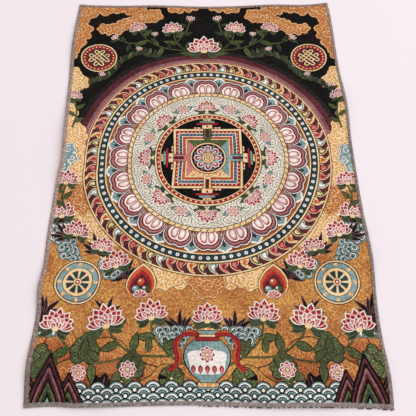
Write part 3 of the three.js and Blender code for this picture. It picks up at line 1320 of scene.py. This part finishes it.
def wound_thread(side, half_run, reach, draw):
    """The thread's path as it is wound round the edge from one end of the run to the other."""
    path = []
    for k in range(int(2 * half_run / STITCH_STEP)):
        start = -half_run + k * STITCH_STEP
        depth = reach * draw.uniform(0.98, 1.02)
        loose = draw.uniform(-0.05, 0.1)
        for inwards, height, share in STITCH:
            slant = STITCH_DRIFT * 2 * (0.5 - abs(share - 0.5))
            along = min(start + share * STITCH_STEP + slant, half_run)
            over = loose if height > FACE_HEIGHT else 0
            path.append(run_point(side, along, inwards * depth, height + over))
    return path


def needle_thread(side, half_run, draw):
    """The straight row of needle stitches that holds the loops down."""
    path = []
    for k in range(int(2 * half_run / NEEDLE_STEP)):
        inwards = NEEDLE_ROW + draw.uniform(-0.12, 0.12)
        path.append(run_point(side, -half_run + k * NEEDLE_STEP, inwards, NEEDLE_HEIGHTS[k % 4]))
    return path


def add_tube(mesh_maker, path, radius):
    """A thread with closed ends along a path, added to a mesh."""
    data = bpy.data.curves.new("thread", "CURVE")
    data.dimensions = "3D"
    data.bevel_depth = radius * MM
    data.bevel_resolution = 0
    data.use_fill_caps = True
    spline = data.splines.new("POLY")
    spline.points.add(len(path) - 1)
    for point, place in zip(spline.points, path):
        point.co = (*place, 1)
    thread = bpy.data.objects.new("thread", data)
    mesh_maker.from_mesh(thread.to_mesh())
    thread.to_mesh_clear()
    bpy.data.objects.remove(thread)
    bpy.data.curves.remove(data)


def make_edging(side, half_run, reach, seed, look):
    draw = random.Random(seed)
    mesh_maker = bmesh.new()
    add_tube(mesh_maker, wound_thread(side, half_run, reach, draw), THREAD_RADIUS)
    add_tube(mesh_maker, needle_thread(side, half_run, draw), NEEDLE_RADIUS)
    bmesh.ops.remove_doubles(mesh_maker, verts=mesh_maker.verts[:], dist=LEAST_CUT * MM)
    for face in mesh_maker.faces:
        face.smooth = True
    edging = finished("overlock_" + side, mesh_maker, look)
    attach(edging, "root")
    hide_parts("edging_" + side)
    return edging


def painted_light_along(shader, side, painted_light_steps):
    """Painted light and shade along the thread's run, from the left or the foot to the other end: lighter
    where the run faces the light, darker where it turns away.
    """
    across = side in ("bottom", "top")
    length = (PANEL_WIDTH if across else PANEL_HEIGHT) * MM
    where = shader.add("SeparateXYZ", {0: shader.place(1)}).outputs[0 if across else 1]
    share = shader.maths("MULTIPLY_ADD", where, 1 / length, 0.5)
    ramp = shader.add("ValToRGB", {0: share})
    stops = ramp.color_ramp.elements
    for i in range(1, len(painted_light_steps) - 1):
        stops.new(i / (len(painted_light_steps) - 1))
    for stop, tone in zip(stops, painted_light_steps):
        stop.color = (tone, tone, tone, 1)
    return ramp.outputs[0]


def thread_material(side, light, dark, painted_light_steps):
    shader = Shader("overlock_thread_" + side)
    blotch = shader.noise(1, 260)
    fibre = shader.noise(2, 900)
    patches = shader.maths("MULTIPLY_ADD", blotch, 0.6, 0.25)
    both = shader.maths("MULTIPLY_ADD", fibre, 0.6, patches)
    colour = shader.mix(shader.ramp(both, 0.72, 1), srgb(dark), srgb(light))
    # Painted light and shade: the thread's colour is scaled along its run for how the light falls on it.
    colour = shader.vectors("MULTIPLY", colour, painted_light_along(shader, side, painted_light_steps))
    bump = shader.bump(0.6, 0.1 * MM, fibre)
    return shader.finish(Base_Color=colour, Normal=bump, Roughness=0.85, Sheen_Weight=0.2)


side_half = PANEL_HEIGHT / 2 - EDGING_WIDTH - GAP
cross_half = PANEL_WIDTH / 2

# Side, half of the run's length, how far in its stitches reach beside the usual, the thread's
# light and dark dyes, whose level from side to side is painted light and shade, and the painted light and
# shade at even steps along the run
EDGINGS = (
    ("bottom", cross_half, 1.1, (200, 187, 182), (130, 118, 114), (0.75, 0.85, 1, 1, 1)),
    ("right", side_half, 1.05, (211, 191, 183), (126, 109, 101), (0.85, 0.87, 0.74, 0.92, 1)),
    ("top", cross_half, 1.1, (206, 184, 176), (126, 104, 96), (1, 1, 1, 1, 1)),
    ("left", side_half, 1.3, (235, 208, 198), (141, 121, 114), (0.52, 0.88, 1, 0.8, 0.68)),
)
FIRST_SEED = 11
edgings = [
    make_edging(side, half_run - THREAD_RADIUS, reach, seed, thread_material(side, *look))
    for seed, (side, half_run, reach, *look) in enumerate(EDGINGS, start=FIRST_SEED)
]


# Cut ends of the cloth's own yarns, which stick out past the bottom stitches on the right

CUT_ENDS_FROM = -15
CUT_END_RADIUS = 0.33
CUT_END_FOOT = 0.75
CUT_END_HEIGHT = 1.2


def make_cut_ends():
    draw = random.Random(21)
    mesh_maker = bmesh.new()
    along = CUT_ENDS_FROM
    while along < PANEL_WIDTH / 2:
        length = draw.uniform(1.8, 3.0)
        height = CUT_END_HEIGHT + draw.uniform(-0.3, 0.3)
        middle = run_point("bottom", along, CUT_END_FOOT - length / 2, height)
        lean = Matrix.Rotation(math.radians(draw.uniform(-38, 38)), 4, "Z")
        lie = Matrix.Translation(middle) @ lean @ Matrix.Rotation(math.radians(90), 4, "X")
        first = len(mesh_maker.faces)
        bmesh.ops.create_cone(
            mesh_maker, cap_ends=True, segments=5, radius1=CUT_END_RADIUS * MM,
            radius2=0.7 * CUT_END_RADIUS * MM, depth=length * MM, matrix=lie)
        mesh_maker.faces.ensure_lookup_table()
        for face in mesh_maker.faces[first:]:
            face.material_index = 0 if math.sin(along / 9) < 0.75 else draw.choice((1, 2))
        along += draw.uniform(0.35, 0.75) if draw.random() < 0.9 else 5
    looks = [yarn_looks[yarn] for yarn in ("charcoal", "orange", "crimson")]
    return finished("cut_yarn_ends", mesh_maker, *looks)


cut_ends = make_cut_ends()


# Floor and light, with the window's place and size in metres

FLOOR_HALF = 6.0
FLOOR_DROP = 0.2
WINDOW_PLACE = Vector((7.0, 2.6, 6.6))
WINDOW_SIZE = 9.0
WINDOW_POWER = 720
WINDOW_COLOUR = (0.9, 0.97, 1.02)
ROOM_COLOUR = (1.0, 0.93, 0.87, 1)
ROOM_STRENGTH = 0.7


def make_floor():
    mesh_maker = bmesh.new()
    bmesh.ops.create_grid(mesh_maker, x_segments=1, y_segments=1, size=FLOOR_HALF)
    look = Shader("pale_surface").finish(Base_Color=srgb((240, 231, 238)), Roughness=0.9)
    floor = finished("floor", mesh_maker, look)
    floor.location.z = -FLOOR_DROP * MM


def make_window():
    data = bpy.data.lights.new("window", "AREA")
    data.size = WINDOW_SIZE
    data.energy = WINDOW_POWER
    data.color = WINDOW_COLOUR
    light = bpy.data.objects.new("window", data)
    light.location = WINDOW_PLACE
    light.rotation_euler = (-WINDOW_PLACE).to_track_quat("-Z", "Y").to_euler()
    bpy.context.scene.collection.objects.link(light)


def make_room_light():
    world = bpy.data.worlds.new("room")
    world.use_nodes = True
    background = world.node_tree.nodes["Background"]
    background.inputs["Color"].default_value = ROOM_COLOUR
    background.inputs["Strength"].default_value = ROOM_STRENGTH
    bpy.context.scene.world = world


make_floor()
make_room_light()
make_window()
bpy.context.scene.view_settings.view_transform = "Standard"

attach(panel, "root")
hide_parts("woven_panel")
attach(cut_ends, "root")
